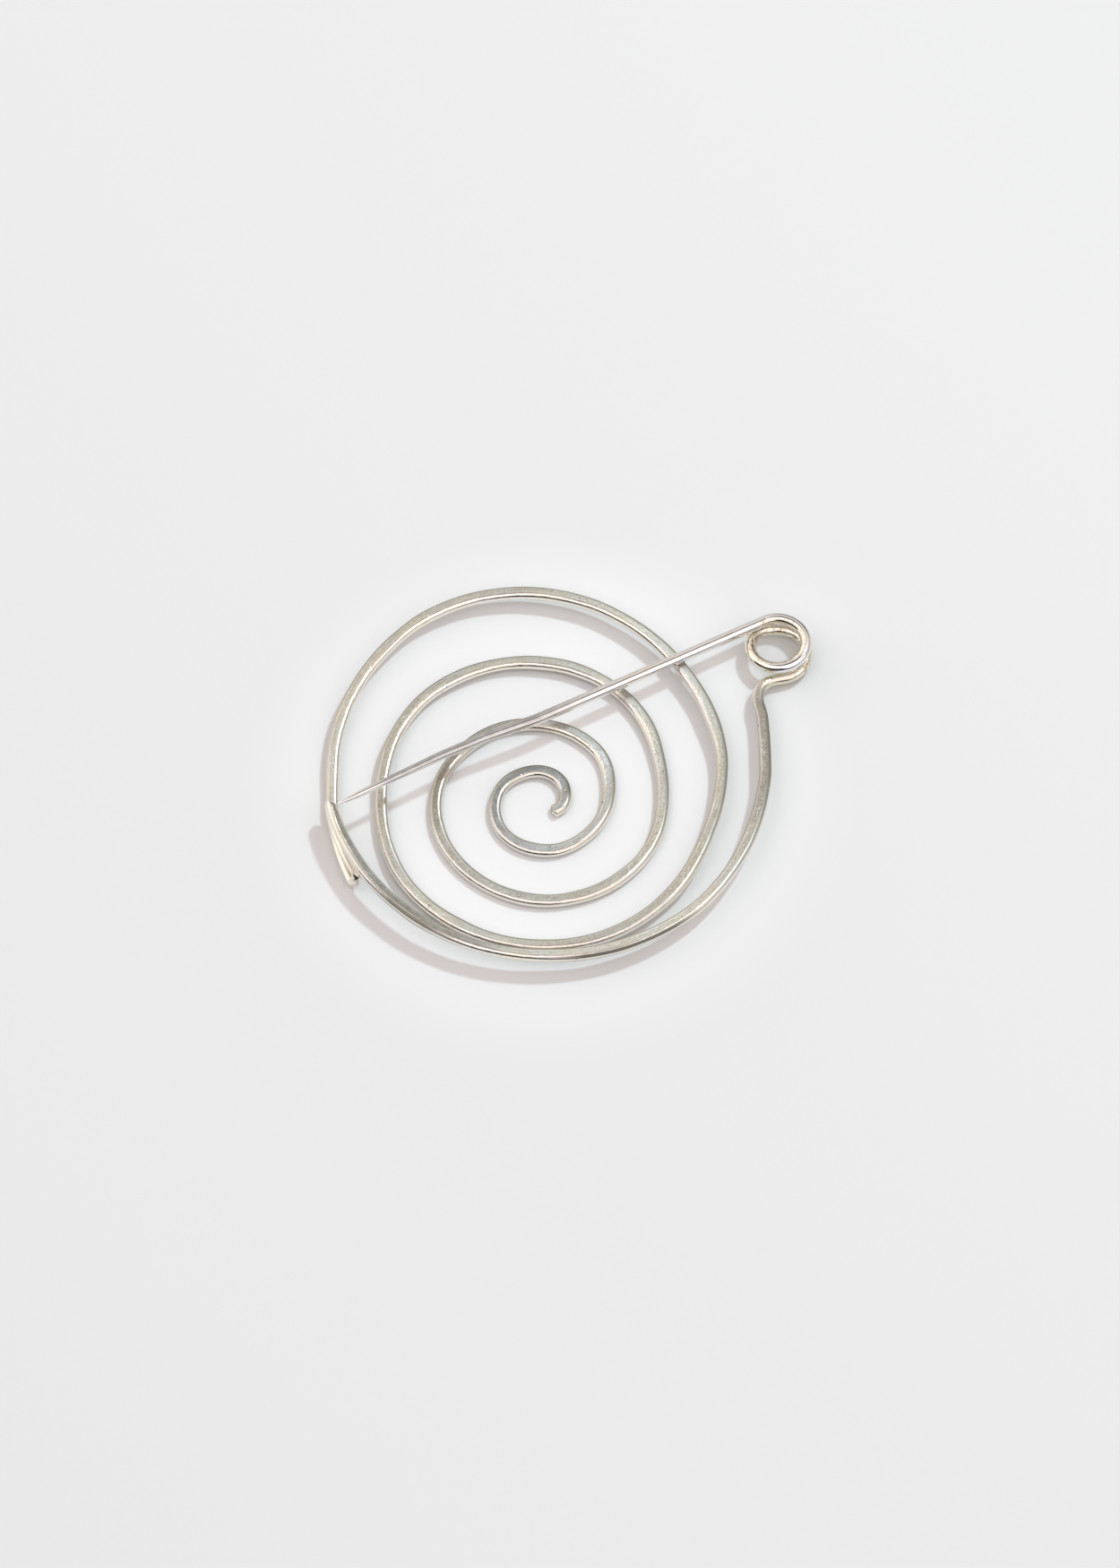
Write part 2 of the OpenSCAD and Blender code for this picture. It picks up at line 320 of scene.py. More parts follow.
# The small bends: straight between the rows of the table, softened, away from the centre in plan
def wandering(place, line, marks):
    at, outward = np.array(spiralWire["wander"]).T
    bend = np.interp(turnsOf(line), at, outward)
    bend *= np.interp(place - marks["coil"], spiralWire["wanderEnd"], [1, 0])
    start, end, fade = marks["catch"], marks["rim"], spiralWire["wanderFade"]
    bend *= 1 - np.interp(place, [start, start + fade, end - fade, end], [0, 1, 1, 0])
    weights, reach = bell(bendSoftening)
    bend = np.convolve(np.pad(bend, reach, "edge"), weights, "valid")
    return bend[:, None] * line[:, :2] / np.hypot(line[:, 0], line[:, 1])[:, None]


# The whole wire as one fine line: the stretches joined, respaced evenly and softened where they meet
def wholeWire():
    innerAngle = spiralWire["innerAngle"]
    outOfTip = np.linspace(innerEnd["length"], 0, laidPoints["tip"])[:, None]
    stretches = {
        "tip": [outOfTip * backAlong(spiralLine, innerAngle) + spiralLine(innerAngle)],
        "spiral": [spiralLine(np.linspace(innerAngle, spiralWire["endAngle"], laidPoints["spiral"]))],
        **catchLines(),
        "rim": [rimLine(np.linspace(rimCut, rimWire["neckStart"], laidPoints["rim"]))],
        "neck": [neckLine(laidPoints["neck"])],
        "coil": [coilLine(np.linspace(coilStart, coilTop, laidPoints["coil"]))],
        "pin": [pinLine(np.linspace(0, pinWire["length"], laidPoints["pin"]))],
    }
    joined, marks, total = [], {}, 0
    for name, parts in stretches.items():
        marks[name] = total
        joined += parts
        line = np.vstack(joined)
        length = np.concatenate([[0], np.cumsum(np.linalg.norm(np.diff(line, axis=0), axis=1))])
        total = length[-1]
    marks["end"] = total
    keep = np.concatenate([[True], np.diff(length) > 1e-9])  # without the points that lie twice
    even = np.arange(0, total, routeStep)
    line = np.stack([np.interp(even, length[keep], line[keep, k]) for k in range(3)], -1)
    line[:, :2] += wandering(even, line, marks)
    weights, reach = bell(joinSoftening)
    padded = np.vstack([2 * line[0] - line[reach:0:-1], line, 2 * line[-1] - line[-2:-2 - reach:-1]])
    line = np.stack([np.convolve(padded[:, k], weights, "valid") for k in range(3)], -1)
    return even, line, marks


routeLength, routePoints, marks = wholeWire()
print("wire laid out:", round(marks["end"]), "mm from the inner end to the point")

# The section's own axes. side = heading x up, and the wire runs upside down past the catch's fold.
routeHeading = np.gradient(routePoints, axis=0)
routeHeading /= np.linalg.norm(routeHeading, axis=1)[:, None]
routeSide = np.cross(routeHeading, [0, 0, 1])
routeSide /= np.linalg.norm(routeSide, axis=1)[:, None]
turned = np.cumsum(np.sum(routeSide[1:] * routeSide[:-1], 1) < 0) % 2
routeSide[1:] *= (1 - 2 * turned)[:, None]
routeTurn = turnsOf(routePoints)

# Section and skin of the wire

hammer = {
    "crown": 0.10,  # how far the struck face is from flat
    "widthDrift": 0.05,  # share by which the wire is wider or narrower here and there
    "heightDrift": 0.025,
    "roll": 2.0,  # degrees by which the faces lean to either side
    # millimetres from one such place to the next
    "widthEvery": 5.5,
    "heightEvery": 3.1,
    "rollEvery": 7.3,
    "lostInCatch": 0.85,  # share of the hammering that the bent catch has lost
    "blows": [[3.4, 4, 0.030], [1.4, 6, 0.004]],  # spacing, cells round, depth
    "nicks": 200,
    "nickSize": [0.12, 0.4],
    "nickDepth": [0.008, 0.035],
    "nickReach": 1.5,  # length to each side over which a nick is worked out
    "nickMargin": 1.0,  # how far past a piece's ends its nicks may lie
    "girth": 4.8,  # round the wire
}
drawn = {"widthDrift": 0.008, "blows": [[4.0, 3, 0.005], [1.3, 5, 0.002]]}
seeds = {"nicks": 7, "width": 11, "height": 12, "roll": 13, "hammer": 20, "drawn": 30}
skin = {
    "crowding": 0.30,  # how much closer the lines lie on the faces
    "tableGap": 0.004,  # least height of the skin, which keeps its underside flat
}
# where the metal is painted dark, dull or golden: partly tarnished metal, partly painted shade and painted
# reflection
patinaAndPaintedShading = {
    # bands across the section, where 0 is the middle of a face and 1 the middle of a side
    "face": [0.26, 0.12],
    "edgeStart": [0.10, 0.30],
    "edgeEnd": [1.0, 0.80],
    "sideStart": [0.42, 0.56],
    "sideEnd": [1.0, 0.94],
    # millimetres away from the spiral's centre, counted from the wire's own middle
    "outside": [-0.1, 0.1],
    # painted shading: the face darkens towards its outer edge where that edge is painted dark
    "outerFaceShade": 0.22,
    "outerFaceShadeFrom": [-0.30, 0.50],
    "sideShare": 0.35,  # of the face's painted dullness and shade that the sides have too
    # places, from the coil and from the pin, between which the golden tone comes and goes: partly tarnished
    # metal, partly painted warm reflection
    "goldenFrom": [-7, -3],
    "goldenTo": [23, 17],
    "innerGoldenFrom": [12, 18],
    "innerGoldenTo": [3, 0],
    "innerGolden": [0.05, 0.40],  # millimetres from the wire's middle towards the coil's axis
    # painted dark reflection on the face just past the fold, and painted shade in the slit
    "foldDark": 0.6,
    "foldDarkFrom": [1.5, 3],
    "foldDarkTo": [11, 5],
    "slitDark": 0.8,
    "greyShare": 0.35,  # of the pin's painted dark reflection that its other side has too
}


# The smooth step again, with its start and end counted from one of the wire's marks
def fromMark(place, mark, start, end):
    return between(place - marks[mark], start, end)


# A smooth random value along the wire, -1 to 1: seeded knots joined by 3t^2 - 2t^3
def drift(place, spacing, seed):
    knots = np.random.default_rng(seed).uniform(-1, 1, int(marks["end"] / spacing) + 3)
    i = np.floor(place / spacing).astype(int)
    t = between(place / spacing - i, 0, 1)
    return knots[i] * (1 - t) + knots[i + 1] * t


# The same in two directions, closed round the wire: cells of spacing millimetres by 1/cells of a turn
def patches(place, around, spacing, cells, seed):
    knots = np.random.default_rng(seed).uniform(-1, 1, (int(marks["end"] / spacing) + 3, cells))
    i, j = np.floor(place / spacing).astype(int), np.floor(around * cells).astype(int)
    s, t = between(place / spacing - i, 0, 1), between(around * cells - j, 0, 1)
    j, nextJ = j % cells, (j + 1) % cells
    near = knots[i, j] * (1 - t) + knots[i, nextJ] * t
    far = knots[i + 1, j] * (1 - t) + knots[i + 1, nextJ] * t
    return near * (1 - s) + far * s


# Width, height, shoulder radius, roundness and share of the catch at each place on the wire
def sections(place):
    folded = fromMark(place, "catch", 0, catchWire["fade"])
    folded = folded * fromMark(place, "fold", *catchWire["afterFold"])
    rounded = fromMark(place, "coil", *coilWire["rounding"])
    pinAt, pinDiameter = np.array(pinWire["taper"]).T
    diameter = np.interp(place - marks["pin"], pinAt, pinDiameter)
    sizes = []
    for key, share in (("width", 1), ("height", 1), ("shoulder", 0.5)):
        flat = spiralWire[key] * (1 - folded) + catchWire[key] * folded
        sizes.append(flat * (1 - rounded) + share * diameter * rounded)
    return *sizes, rounded, folded


# Degrees by which the section is turned, from the tables and the hammer's own unevenness
def turnOfSection(place, struck, rounded):
    turn = np.interp(place, routeLength, routeTurn)
    onSpiral = smoothThrough(np.ravel(spiralWire["lean"]), (turn - spiralWire["firstColumn"]) / tableStep)
    pastWest = np.clip((turn - lastWest) / tableStep, 0, len(rimWire["lean"]) - 1)
    onRim = smoothThrough(rimWire["lean"], pastWest)
    lean = onSpiral + (onRim - onSpiral) * between(place, marks["catch"] + catchWire["fade"], marks["fold"])
    uneven = hammer["roll"] * drift(place, hammer["rollEvery"], seeds["roll"])
    return struck * uneven - (1 - rounded) * lean


# The columns of a compass table at each place: SE E NE N NW W SW S, joined smoothly and closed
def byCompass(columns, place):
    share = (np.interp(place, routeLength, routeTurn) - spiralWire["firstColumn"]) / tableStep % 8
    return smoothThrough([columns[-1], *columns, columns[0], columns[1]], share + 1)[:, None]


# A table of degrees round the spiral and values at each place, straight between its rows
def byTurn(table, place):
    return np.interp(np.interp(place, routeLength, routeTurn), *np.array(table).T)[:, None]


# How deep in the slit between the catch's two lower legs, for the painted shade there: near the middle
# between their lines, under the rim
def slitDepth(points):
    pastWest = np.degrees(np.arctan2(points[..., 1], points[..., 0])) % 360 - 180
    share = (pastWest - catchWire["foldAngle"]) / (catchWire["loopAngle"] - catchWire["foldAngle"])
    rim, turn = rimLine(pastWest), spiralLine(lastWest + pastWest)
    innerLeg = np.hypot(rim[..., 0], rim[..., 1]) + catchWire["narrowing"] * share
    middle = (innerLeg + np.hypot(turn[..., 0], turn[..., 1])) / 2
    away = np.abs(np.hypot(points[..., 0], points[..., 1]) - middle)
    under = points[..., 2] < rim[..., 2] - catchWire["slitUnder"]
    return between(away, *catchWire["slitReach"]) * between(pastWest, *catchWire["slitFrom"]) * under


# Where the rings of a piece stand: evenly, and closer by a power where the end rounds off
def ringPlaces(start, end, step, tipLength):
    place = np.linspace(start, end, int(round((end - start) / step)) + 1)
    if not tipLength:
        return place
    share = np.linspace(0, 1, innerEnd["rings"])
    tip = start + tipLength * share ** innerEnd["crowding"]
    return np.concatenate([tip, place[place > start + tipLength + step / 2]])


# Centre, side and up of each ring, all three at right angles to the wire: up = side x heading
def ringAxes(place):
    centre, heading, side = [
        np.stack([np.interp(place, routeLength, values[:, k]) for k in range(3)], -1)
        for values in (routePoints, routeHeading, routeSide)]
    heading /= np.linalg.norm(heading, axis=1)[:, None]
    side -= np.sum(side * heading, 1)[:, None] * heading
    side /= np.linalg.norm(side, axis=1)[:, None]
    return centre, side, np.cross(side, heading)


# Millimetres by which the skin is pushed in or out: smooth patches for the blows, and for each nick
# -depth e^(-(gap/size)^2)
def skinBumps(place, around, strength, start, end):
    s, w = np.broadcast_arrays(place[:, None], around[None, :])

    def blows(rows, seed):
        return sum(
            depth * patches(s, w, spacing, cells, seed + n) for n, (spacing, cells, depth) in enumerate(rows))

    bump = blows(hammer["blows"], seeds["hammer"]) * strength
    bump = bump + blows(drawn["blows"], seeds["drawn"]) * (1 - strength)
    dice, count = np.random.default_rng(seeds["nicks"]), hammer["nicks"]
    at, turn = dice.uniform(0, marks["neck"], count), dice.uniform(0, 1, count)
    size, depth = dice.uniform(*hammer["nickSize"], count), dice.uniform(*hammer["nickDepth"], count)
    here = (at > start - hammer["nickMargin"]) & (at < end + hammer["nickMargin"])
    for k in np.flatnonzero(here):
        rows = slice(*np.searchsorted(place, [at[k] - hammer["nickReach"], at[k] + hammer["nickReach"]]))
        gap = (np.abs(w[rows] - turn[k] + 0.5) % 1 - 0.5) * hammer["girth"]
        bump[rows] -= depth[k] * np.exp(-((s[rows] - at[k]) ** 2 + gap ** 2) / size[k] ** 2)
    return bump


# From least to 1 as the mask goes from 0 to 1
def mostlyBy(least, mask):
    return least + (1 - least) * mask


# What the finishes read off the skin, tarnish together with painted shade and painted reflection: products of
# smooth steps along, across and round the wire. out is each point's offset from the wire's middle.
def skinMarks(grid, centre, place, across, struck, folded):
    out = grid - centre[:, None, :]
    aside, strength = np.abs(across), struck[:, None]
    facing = between(aside, *patinaAndPaintedShading["face"])
    away = np.sum(out[..., :2] * centre[:, None, :2], -1) / np.hypot(*centre[:, :2].T)[:, None]
    outside = between(away, *patinaAndPaintedShading["outside"])
    outerDark = byCompass(spiralWire["outerTarnishAndReflection"], place)
    innerDark = byCompass(spiralWire["innerTarnishAndReflection"], place)
    # the face's edges painted dark: partly tarnished metal, partly painted dark reflection
    edge = between(aside, *patinaAndPaintedShading["edgeStart"]) * between(aside, *patinaAndPaintedShading["edgeEnd"])
    edge = edge * (outerDark * outside + innerDark * (1 - outside))
    sideBand = between(aside, *patinaAndPaintedShading["sideStart"]) * between(aside, *patinaAndPaintedShading["sideEnd"])
    # painted dark reflection on the rim's outer side
    edge = np.maximum(edge, byTurn(rimWire["sideDarkReflection"], place) * outside * sideBand)
    # painted shade and dulled metal along the spiral, and painted shading that darkens the face towards a
    # dark outer edge
    dullAndShade = byTurn(spiralWire["dullAndShade"], place)
    dullAndShade = dullAndShade + patinaAndPaintedShading["outerFaceShade"] * outerDark * between(away, *patinaAndPaintedShading["outerFaceShadeFrom"]) * facing

    golden = fromMark(place, "coil", *patinaAndPaintedShading["goldenFrom"]) * fromMark(place, "coil", *patinaAndPaintedShading["goldenTo"])
    # the coil's upper turn is painted golden only on the side that faces its axis: partly tarnished metal,
    # partly painted warm reflection
    inward = (np.array(coilWire["centre"]) - centre) * [1, 1, 0]
    inward = np.sum(out * inward[:, None, :], -1) / np.hypot(*inward[:, :2].T)[:, None].clip(1)
    onCoil = fromMark(place, "coil", *patinaAndPaintedShading["innerGoldenFrom"])
    onCoil = onCoil * fromMark(place, "pin", *patinaAndPaintedShading["innerGoldenTo"])
    golden = np.maximum(golden[:, None], onCoil[:, None] * between(inward, *patinaAndPaintedShading["innerGolden"]))

    # painted dark reflection past the fold and painted shade in the slit
    pastFold = fromMark(place, "fold", *patinaAndPaintedShading["foldDarkFrom"])
    pastFold = pastFold * fromMark(place, "fold", *patinaAndPaintedShading["foldDarkTo"])
    catchShade = slitDepth(grid) * folded[:, None] + patinaAndPaintedShading["foldDark"] * facing * pastFold[:, None]
    # painted dark reflection: the pin's upper north side is painted grey over its middle
    grey = fromMark(place, "pin", *pinWire["greyFrom"]) * fromMark(place, "pin", *pinWire["greyTo"])
    upNorth = out @ pinWire["greySide"] / np.linalg.norm(out, axis=-1).clip(0.02)
    grey = grey[:, None] * mostlyBy(patinaAndPaintedShading["greyShare"], between(upNorth, *pinWire["greyEdge"]))
    dullAndShade = dullAndShade * strength * mostlyBy(patinaAndPaintedShading["sideShare"], facing)
    return {
        "hammeredFace": facing * strength,
        "edgeTarnishAndShade": edge * strength,
        # dulled metal together with painted shade and painted dark reflection
        "dullAndPaintedShade": dullAndShade + grey + patinaAndPaintedShading["slitDark"] * catchShade,
        "goldenTarnishAndReflection": golden,
    }


# The wire's skin: station s along, angle v round. A circle of the shoulder's radius r is drawn out to the
# width and the height: x = (width / 2 - r) sign(cos v) + r cos v, and y likewise from the height and sin v,
# where sign(c) is softened to c / (c^2 + crown^2)^(1/2). The hammer's marks then push it in or out, and it is
# turned by its lean.
def wireSkin(start, end, step, sides, tipLength=0):
    place = ringPlaces(start, end, step, tipLength)
    centre, side, up = ringAxes(place)
    width, height, shoulder, rounded, folded = sections(place)
    struck = (1 - rounded) * (1 - hammer["lostInCatch"] * folded)
    wider = hammer["widthDrift"] * struck + drawn["widthDrift"]
    width = width * (1 + wider * drift(place, hammer["widthEvery"], seeds["width"]))
    taller = hammer["heightDrift"] * struck
    height = height * (1 + taller * drift(place, hammer["heightEvery"], seeds["height"]))

    around = np.linspace(0, 1, sides, endpoint=False)
    v = 2 * np.pi * around[None, :]
    v = v + skin["crowding"] * (1 - rounded)[:, None] * np.sin(2 * v)
    across, upward = np.cos(v), np.sin(v)
    soft = [c / np.sqrt(c * c + hammer["crown"] ** 2) for c in (across, upward)]
    x = (width / 2 - shoulder)[:, None] * soft[0] + shoulder[:, None] * across
    y = (height / 2 - shoulder)[:, None] * soft[1] + shoulder[:, None] * upward
    if tipLength:  # a swollen nub that closes as a quarter ellipse
        t = np.clip((place - start) / tipLength, 0, 1)[:, None]
        close = np.sqrt(1 - (1 - np.clip(t / innerEnd["closing"], 0, 1)) ** 2)
        swell = 1 + innerEnd["swelling"] * np.sin(np.pi * innerEnd["swollenOver"] * t) ** 2
        x, y = x * close * swell, y * close
    grow = 1 + skinBumps(place, around, struck[:, None], start, end) / np.hypot(x, y).clip(0.05)
    x, y = x * grow, y * grow
    roll = np.radians(turnOfSection(place, struck, rounded))[:, None]
    x, y = x * np.cos(roll) - y * np.sin(roll), x * np.sin(roll) + y * np.cos(roll)
    grid = centre[:, None, :] + x[..., None] * side[:, None, :] + y[..., None] * up[:, None, :]
    grid[..., 2] = np.maximum(grid[..., 2], skin["tableGap"])
    return grid, place, around, skinMarks(grid, centre, place, across, struck, folded)


sharpAngle = 55  # degrees, past which an edge of a piece stays sharp


# The wire's own map, a pair for each corner of each face: U in centimetres along the wire, V in turns
def wireMap(place, around):
    rings, sides = len(place), len(around)
    along = place / 10
    i, j = np.meshgrid(np.arange(rings - 1), np.arange(sides), indexing="ij")
    u, nextU, v, nextV = along[i], along[i + 1], around[j], around[j] + 1 / sides
    quads = np.stack([u, v, u, nextV, nextU, nextV, nextU, v], -1)
    first, last = np.full(sides, along[0]), np.full(sides, along[-1])
    middle, after = around + 0.5 / sides, around + 1 / sides
    firstCap = np.stack([first, middle, first, after, first, around], -1)
    lastCap = np.stack([last, middle, last, around, last, after], -1)
    return np.concatenate([quads.ravel(), firstCap.ravel(), lastCap.ravel()])


# A closed tube from a grid of rings: quads between the rings, a fan to a middle point at each end
def tubePiece(name, grid, place, around, marksOnSkin, material):
    rings, sides = grid.shape[:2]
    ends = np.stack([grid[0].mean(0), grid[-1].mean(0)])
    points = np.vstack([grid.reshape(-1, 3), ends]) * millimetre
    ring = np.arange(sides)
    nextInRing = (ring + 1) % sides
    rowStart = np.arange(rings - 1)[:, None] * sides
    corner, beside = rowStart + ring, rowStart + nextInRing
    quads = np.stack([corner, beside, beside + sides, corner + sides], -1).reshape(-1, 4)
    lastRow = (rings - 1) * sides
    first = np.stack([np.full(sides, rings * sides), nextInRing, ring], -1)
    last = np.stack([np.full(sides, rings * sides + 1), lastRow + ring, lastRow + nextInRing], -1)
    corners = np.concatenate([quads.ravel(), first.ravel(), last.ravel()]).astype(np.int32)
    sizes = np.concatenate([np.full(len(quads), 4), np.full(2 * sides, 3)]).astype(np.int32)
    mesh = bpy.data.meshes.new(name)
    mesh.vertices.add(len(points))
    mesh.vertices.foreach_set("co", points.astype(np.float32).ravel())
    mesh.loops.add(len(corners))
    mesh.loops.foreach_set("vertex_index", corners)
    mesh.polygons.add(len(sizes))
    mesh.polygons.foreach_set("loop_start", np.concatenate([[0], np.cumsum(sizes)[:-1]]).astype(np.int32))
    mesh.polygons.foreach_set("use_smooth", np.ones(len(sizes), bool))
    layer = mesh.uv_layers.new(name="wireMap")
    layer.data.foreach_set("uv", wireMap(place, around).astype(np.float32))
    for title, values in marksOnSkin.items():
        layer = mesh.attributes.new(title, "FLOAT", "POINT")
        layer.data.foreach_set("value", np.concatenate([values.ravel(), [0, 0]]).astype(np.float32))
    mesh.update(calc_edges=True)
    mesh.validate()
    mesh.set_sharp_from_angle(angle=math.radians(sharpAngle))
    mesh.materials.append(material)
    piece = bpy.data.objects.new(name, mesh)
    bpy.context.scene.collection.objects.link(piece)
    print("made", name, len(points), "points")
    return piece


# Node trees written as maths


class Reading:
    # one value socket of a tree; arithmetic on it adds Math nodes
    def __init__(self, paint, socket):
        self.paint, self.socket = paint, socket

    def __add__(self, other):
        return self.paint.maths("ADD", self, other)

    def __radd__(self, other):
        return self.paint.maths("ADD", other, self)

    def __sub__(self, other):
        return self.paint.maths("SUBTRACT", self, other)

    def __rsub__(self, other):
        return self.paint.maths("SUBTRACT", other, self)

    def __mul__(self, other):
        return self.paint.maths("MULTIPLY", self, other)

    def __rmul__(self, other):
        return self.paint.maths("MULTIPLY", other, self)


class Paint:
    def __init__(self, tree):
        self.tree = tree
        tree.nodes.clear()

    # one node: its settings first, then the values or links of its sockets
    def add(self, kind, settings=None, values=None, out=0):
        node = self.tree.nodes.new(kind)
        for key, value in (settings or {}).items():
            setattr(node, key, value)
        for key, value in (values or {}).items():
            if isinstance(value, Reading):
                self.tree.links.new(value.socket, node.inputs[key])
            else:
                node.inputs[key].default_value = value
        return Reading(self, node.outputs[out]) if node.outputs else node

    def maths(self, operation, a, b):
        return self.add("ShaderNodeMath", {"operation": operation}, {0: a, 1: b})

    # a smooth step from 0 at low to 1 at high
    def step(self, value, low, high):
        values = {0: value, 1: low, 2: high, 3: 0.0, 4: 1.0}
        return self.add("ShaderNodeMapRange", {"interpolation_type": "SMOOTHSTEP"}, values)

    def blend(self, share, first, second):
        return self.add("ShaderNodeMix", {"data_type": "RGBA"}, {0: share, 6: first, 7: second}, out=2)

    def stretch(self, vector, factors):
        return self.add("ShaderNodeVectorMath", {"operation": "MULTIPLY"}, {0: vector, 1: factors})

    def length(self, vector):
        return self.add("ShaderNodeVectorMath", {"operation": "LENGTH"}, {0: vector}, out="Value")

    def noise(self, vector, scale, detail, rough):
        values = {"Vector": vector, "Scale": scale, "Detail": detail, "Roughness": rough}
        return self.add("ShaderNodeTexNoise", {}, values)

    def cells(self, vector, scale):
        return self.add("ShaderNodeTexVoronoi", {}, {"Vector": vector, "Scale": scale})

    # one of the marks on the skin
    def mark(self, name):
        return self.add("ShaderNodeAttribute", {"attribute_name": name}, out="Fac")

    # polished or dull metal, bumped by a height in millimetres
    def metal(self, colour, roughness, height):
        normal = self.add("ShaderNodeBump", {}, {"Strength": 1.0, "Distance": millimetre, "Height": height})
        shader = self.add("ShaderNodeBsdfPrincipled", {}, {
            "Base Color": colour, "Metallic": 1.0, "Roughness": roughness, "Normal": normal})
        self.add("ShaderNodeOutputMaterial", {}, {"Surface": shader})


def rgb(red, green, blue):
    return (red, green, blue, 1.0)


hammeredSilver = {
    "flatWarm": rgb(0.59, 0.551, 0.468),
    "flatCool": rgb(0.565, 0.54, 0.488),
    "sideWarm": rgb(0.92, 0.872, 0.765),
    "sideCool": rgb(0.91, 0.882, 0.825),
    # dark colour for tarnished metal and for painted shade and painted dark reflection
    "darkTone": rgb(0.235, 0.218, 0.178),
    "golden": rgb(0.80, 0.745, 0.61),
    "centreGrey": 0.75,  # how grey the faces of the smallest turn are
    "centreReach": [11.5, 8.5],  # millimetres from the middle
    "flatRoughness": 0.33,
    "sideRoughness": 0.10,
    # patches in a millimetre, detail and roughness of each pattern
    "tone": [0.16, 2.0, 0.5],
    "waves": [0.75, 1.0, 0.5],
    "mottle": [1.9, 3.0, 0.6],
    "dents": [5.5, 2.0, 0.6],
    "grain": [13.0, 1.0, 0.5],
    "lines": [1.0, 2.0, 0.6],
    "lineStretch": (7.0, 60.0, 1.0),  # lines in a centimetre along the wire, and in a turn round it
    # bright specks, painted glints, and dark pits: cells in a millimetre, size in cells, and the patches that
    # have them
    "specks": 3.6,
    "speckSize": [0.12, 0.26],
    "speckPatches": [0.9, 1.0, 0.5],
    "speckPick": [0.54, 0.62],
    "pits": 1.3,
    "pitSize": [0.09, 0.20],
    "pitPatches": [0.42, 1.0, 0.5],
    "pitPick": [0.60, 0.66],
    "pitStretch": (1.0, 1.0, 1.3),
    "speckPaintedGlint": 0.85,
    # values of the patterns between which the metal turns warm, and its mottle and its dents go dark
    "warmPick": [0.42, 0.58],
    "mottlePick": [0.45, 0.7],
    "dentPick": [0.47, 0.62],
    "mottleInTone": 0.35,
    # how strongly each one darkens the metal, as tarnished metal or as painted shade and painted dark
    # reflection
    "darkening": {"edge": 0.85, "dullAndShade": 0.75, "mottle": 0.22, "dents": 0.35, "pits": 0.8},
    # and roughens it
    "rough": {"edge": 0.55, "mottle": 0.12, "dents": 0.16, "specks": -0.16, "pits": 0.15},
    # depth in millimetres of the marks at each scale
    "depth": {"waves": 0.045, "dents": 0.042, "grain": 0.028, "lines": 0.010, "specks": 0.10, "pits": 0.03},
}
polishedSilver = {
    "warm": rgb(0.88, 0.85, 0.80),
    "cool": rgb(0.86, 0.85, 0.84),
    "golden": rgb(0.87, 0.82, 0.71),
    "brown": rgb(0.52, 0.45, 0.33),
    "darkTone": rgb(0.42, 0.35, 0.26),
    "grey": rgb(0.34, 0.33, 0.32),
    "roughness": 0.08,
    "tone": [0.22, 2.0, 0.5],
    "waves": [0.6, 1.0, 0.5],
    "mottle": [2.1, 3.0, 0.55],
    "grain": [13.0, 1.0, 0.5],
    "lines": [1.0, 2.0, 0.6],
    "lineStretch": (3.0, 40.0, 1.0),
    "specks": 1.9,
    "speckSize": [0.08, 0.18],
    "speckPick": [0.58, 0.64],
    "warmPick": [0.44, 0.58],
    "brownPick": [0.50, 0.68],
    "wearPick": [0.55, 0.8],
    "mottleInTone": 0.25,
    "darkening": 0.20,
    "rough": {"mottle": 0.06, "lines": 0.10, "grain": 0.03, "grey": 0.10},
    "depth": {"waves": 0.020, "mottle": 0.004, "grain": 0.0012, "lines": 0.008, "specks": 0.05},
}


# What both silvers start from: the place in millimetres, and the fine lines that run along the wire
def silverPaint(material, look):
    material.use_nodes = True
    paint = Paint(material.node_tree)
    mm = paint.stretch(paint.add("ShaderNodeTexCoord", out="Object"), (1000, 1000, 1000))
    wire = paint.add("ShaderNodeUVMap", {"uv_map": "wireMap"})
    lines = paint.noise(paint.stretch(wire, look["lineStretch"]), *look["lines"])
    return paint, mm, lines


